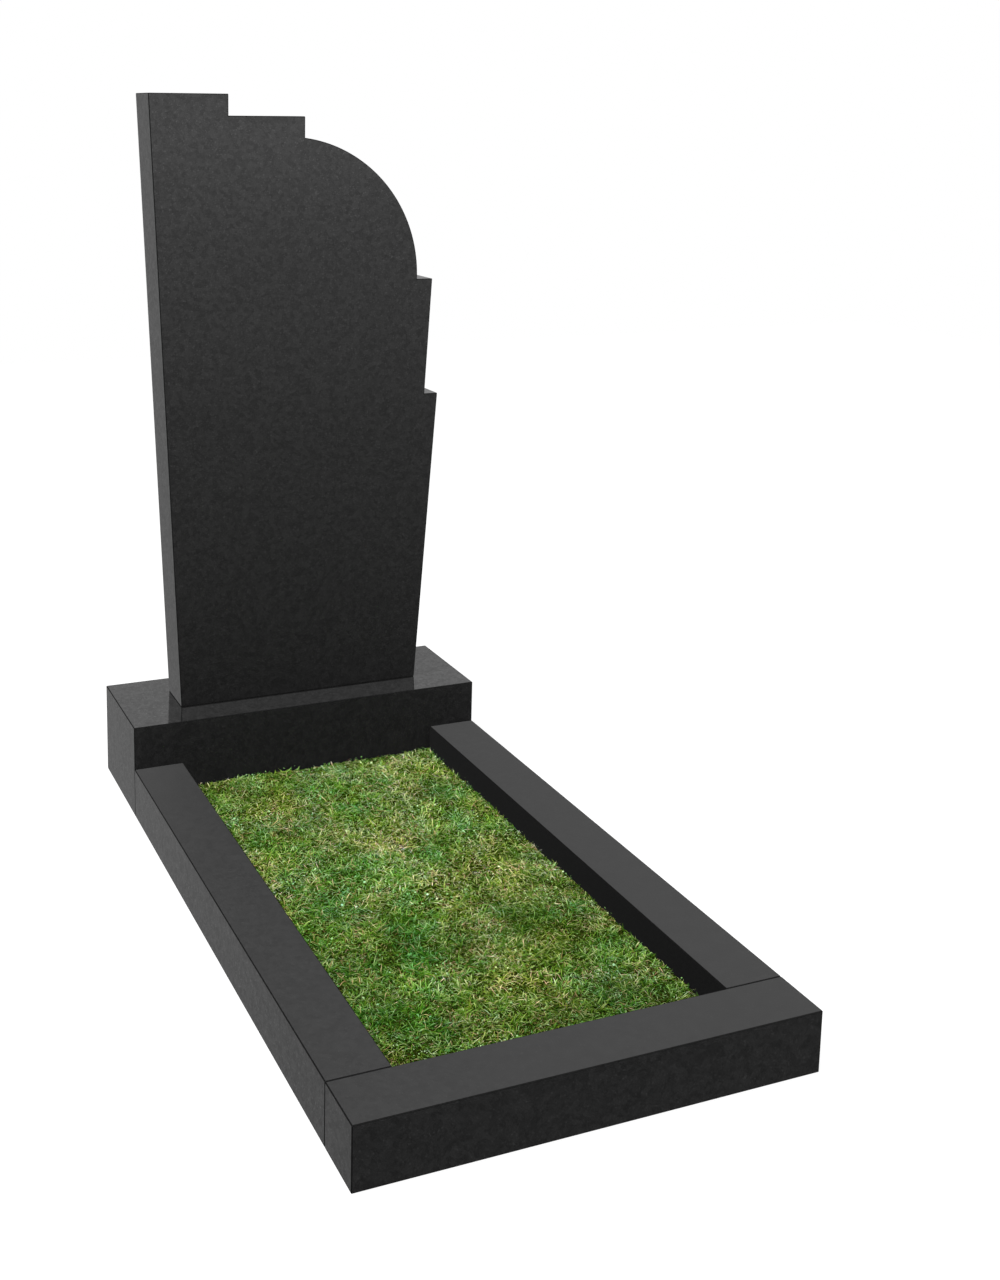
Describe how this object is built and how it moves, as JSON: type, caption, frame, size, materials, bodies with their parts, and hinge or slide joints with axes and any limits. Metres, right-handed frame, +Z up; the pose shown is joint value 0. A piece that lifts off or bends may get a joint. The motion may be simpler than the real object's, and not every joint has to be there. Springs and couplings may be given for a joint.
{
  "type": "grave monument",
  "caption": "Polished black granite grave monument: a stepped, round-shouldered stele on its plinth, with a kerb frame around a turf bed.",
  "frame": {"origin": "middle of the footprint, on the ground", "axes": "+Z up, +X to the right of someone who reads the stele, the stele faces -Y and the kerb frame lies in front of it towards -Y"},
  "size_m": [0.6, 1.15, 1.1503],
  "materials": {
    "granite": "polished",
    "turf": "matte"
  },
  "bodies": {
    "root": {"stele": "granite", "plinth": "granite", "kerb_left": "granite", "kerb_right": "granite", "kerb_front": "granite", "turf": "turf"}
  },
  "joints": []
}
